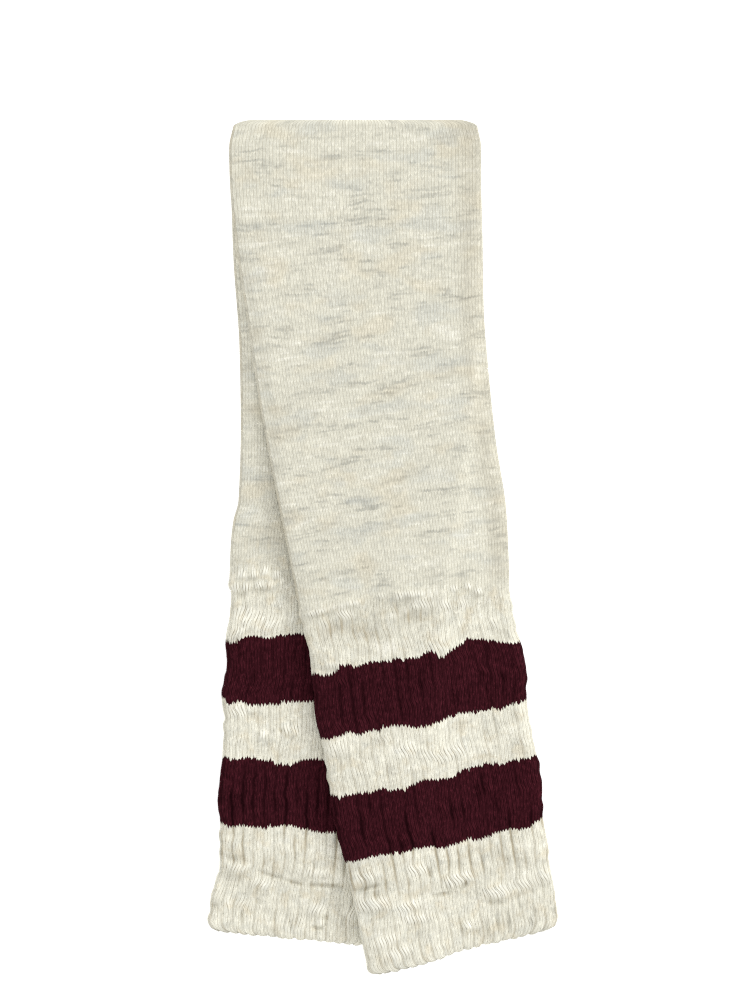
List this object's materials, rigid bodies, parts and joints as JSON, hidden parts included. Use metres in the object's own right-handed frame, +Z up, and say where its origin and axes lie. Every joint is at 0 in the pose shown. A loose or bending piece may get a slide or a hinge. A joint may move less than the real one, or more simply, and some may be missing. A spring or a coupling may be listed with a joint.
{
  "type": "pair of knee-high socks",
  "caption": "Knee-high knitted socks laid flat one on the other, each folded once across the calf, with gathered ribbed cuffs in contrasting bands and a plain leg.",
  "frame": {"origin": "on the surface the socks lie on, under the middle of their outline", "axes": "+Z up from that surface, +Y from the cuffs' open ends up the legs to the fold, +X to the right seen from above with the fold at the top"},
  "size_m": [0.1391, 0.3387, 0.0137],
  "materials": {
    "cream_knit": "matte",
    "cream_knit_shaded": "matte"
  },
  "bodies": {
    "root": {"front_sock": "cream_knit", "back_sock": "cream_knit_shaded"}
  },
  "joints": []
}
